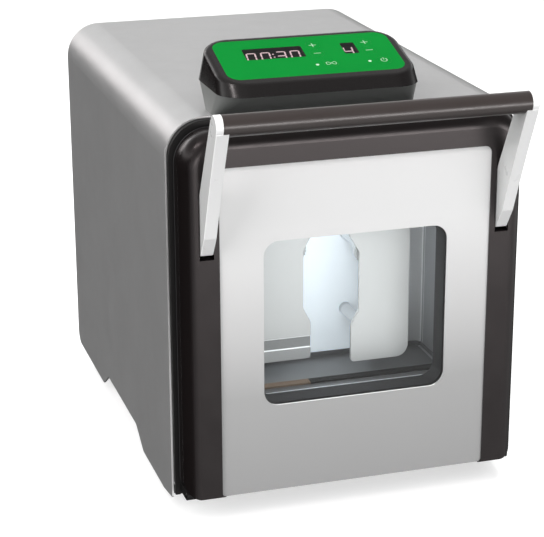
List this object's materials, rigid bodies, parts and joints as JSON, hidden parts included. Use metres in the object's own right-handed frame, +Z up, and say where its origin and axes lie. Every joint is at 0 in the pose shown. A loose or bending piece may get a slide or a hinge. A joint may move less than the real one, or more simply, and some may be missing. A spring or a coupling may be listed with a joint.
{
  "type": "paddle blender homogenizer",
  "caption": "Bench-top paddle blender for sample bags, with a windowed door on a bottom hinge, a bar handle, opposed paddles and a raised sloping control console.",
  "frame": {"origin": "middle of the bounding box's base, on the bench", "axes": "+X across the door to the right as the user faces it, +Y back from the door to the rear panel, +Z up"},
  "size_m": [0.28, 0.4517, 0.3602],
  "materials": {
    "casing_paint": "fine textured silver-grey paint",
    "dark_sheet": "matt black paint",
    "zinc_sheet": "zinc-plated sheet",
    "stainless": "satin stainless steel",
    "ground_steel": "ground bright steel",
    "bronze": "oiled sintered bronze",
    "aluminium": "machined aluminium",
    "door_plastic": "satin brown-black moulding",
    "bar_coating": "satin brown-black coating",
    "arm_white": "smooth white moulding",
    "silver_plate": "glossy silver face plate",
    "clear_pane": "clear pane",
    "black_gloss": "glossy near-black moulding",
    "neck_grey": "satin dark grey moulding",
    "label_green": "green membrane with white symbols",
    "display_dark": "smoked display window",
    "board_green": "soldered circuit board",
    "black_rubber": "black rubber",
    "tan_silicone": "tan silicone",
    "belt_rubber": "toothed belt rubber",
    "motor_paint": "grey motor enamel",
    "fitting_black": "black fitting"
  },
  "bodies": {
    "housing": {"casing_cover": "casing_paint", "base_plate": "zinc_sheet", "front_bulkhead": "dark_sheet", "rear_panel": "casing_paint", "rear_panel_screws": "ground_steel", "rubber_feet": "black_rubber", "foot_screws": "ground_steel", "catch_plates": "zinc_sheet", "door_sensor": "fitting_black", "hinge_brackets": "dark_sheet", "hinge_pins": "ground_steel", "chamber_liner": "stainless", "drip_tray": "stainless", "tray_strip": "tan_silicone", "drive_belt": "belt_rubber", "motor": "motor_paint", "motor_bracket": "zinc_sheet", "drive_frame": "aluminium", "guide_block": "aluminium", "rod_bushes": "bronze", "rod_wipers": "tan_silicone", "crank_bearings": "ground_steel", "console_neck": "neck_grey", "console_head": "black_gloss", "control_membrane": "label_green", "display_windows": "display_dark", "display_board": "board_green", "power_inlet": "fitting_black", "switch_housing": "fitting_black", "control_board": "board_green"},
    "door": {"door_frame": "door_plastic", "door_plate": "silver_plate", "door_window": "clear_pane", "window_gasket": "black_rubber", "door_inner_panel": "door_plastic", "door_seal": "tan_silicone", "door_magnets": "ground_steel", "door_hinge_leaves": "zinc_sheet", "handle_pivot_bushes": "bronze"},
    "handle": {"handle_arm_left": "arm_white", "handle_arm_right": "arm_white", "handle_bar": "bar_coating", "handle_pivot_pins": "ground_steel"},
    "right_carriage": {"paddle_right": "stainless", "push_rods_right": "ground_steel", "yoke_right": "zinc_sheet"},
    "left_carriage": {"paddle_left": "stainless", "push_rods_left": "ground_steel", "yoke_left": "zinc_sheet"},
    "crank": {"crankshaft": "ground_steel", "crank_rollers": "ground_steel", "crank_pulley": "aluminium"},
    "motor_rotor": {"motor_pulley": "aluminium"},
    "rocker": {"power_switch": "fitting_black"},
    "key_time_plus_cap": {"key_time_plus": "label_green"},
    "key_time_minus_cap": {"key_time_minus": "label_green"},
    "key_continuous_cap": {"key_continuous": "label_green"},
    "key_speed_plus_cap": {"key_speed_plus": "label_green"},
    "key_speed_minus_cap": {"key_speed_minus": "label_green"},
    "key_power_cap": {"key_power": "label_green"}
  },
  "joints": [
    {"name": "door_hinge", "type": "hinge", "parent": "housing", "child": "door", "pos_m": [0, -0.16555, 0.0205], "axis": [1, 0, 0], "range_deg": [0, 80]},
    {"name": "handle_tilt", "type": "hinge", "parent": "door", "child": "handle", "pos_m": [0, -0.16705, 0.228], "axis": [1, 0, 0], "range_deg": [0, 30]},
    {"name": "right_paddle_slide", "type": "slide", "parent": "housing", "child": "right_carriage", "axis": [0, 1, 0], "range_m": [0, 0.018]},
    {"name": "left_paddle_slide", "type": "slide", "parent": "housing", "child": "left_carriage", "axis": [0, 1, 0], "range_m": [-0.018, 0]},
    {"name": "crank_turn", "type": "hinge", "parent": "housing", "child": "crank", "pos_m": [0, 0.01445, 0.157], "axis": [1, 0, 0], "continuous": true},
    {"name": "motor_turn", "type": "hinge", "parent": "housing", "child": "motor_rotor", "pos_m": [0, 0.12945, 0.096], "axis": [1, 0, 0], "continuous": true},
    {"name": "power_rocker", "type": "hinge", "parent": "housing", "child": "rocker", "pos_m": [-0.04, 0.21885, 0.062], "axis": [1, 0, 0], "range_deg": [0, 14]},
    {"name": "key_time_plus_press", "type": "slide", "parent": "housing", "child": "key_time_plus_cap", "axis": [0, 0.2907, -0.9568], "range_m": [0, 0.0004], "stiffness_N_per_m": 1500},
    {"name": "key_time_minus_press", "type": "slide", "parent": "housing", "child": "key_time_minus_cap", "axis": [0, 0.2907, -0.9568], "range_m": [0, 0.0004], "stiffness_N_per_m": 1500},
    {"name": "key_continuous_press", "type": "slide", "parent": "housing", "child": "key_continuous_cap", "axis": [0, 0.2907, -0.9568], "range_m": [0, 0.0004], "stiffness_N_per_m": 1500},
    {"name": "key_speed_plus_press", "type": "slide", "parent": "housing", "child": "key_speed_plus_cap", "axis": [0, 0.2907, -0.9568], "range_m": [0, 0.0004], "stiffness_N_per_m": 1500},
    {"name": "key_speed_minus_press", "type": "slide", "parent": "housing", "child": "key_speed_minus_cap", "axis": [0, 0.2907, -0.9568], "range_m": [0, 0.0004], "stiffness_N_per_m": 1500},
    {"name": "key_power_press", "type": "slide", "parent": "housing", "child": "key_power_cap", "axis": [0, 0.2907, -0.9568], "range_m": [0, 0.0004], "stiffness_N_per_m": 1500}
  ],
  "couplings": [
    {"joint": "left_paddle_slide", "follows": "right_paddle_slide", "ratio": -1},
    {"joint": "crank_turn", "follows": "right_paddle_slide", "rad_per_m": 174.53},
    {"joint": "motor_turn", "follows": "right_paddle_slide", "rad_per_m": 349.07}
  ]
}
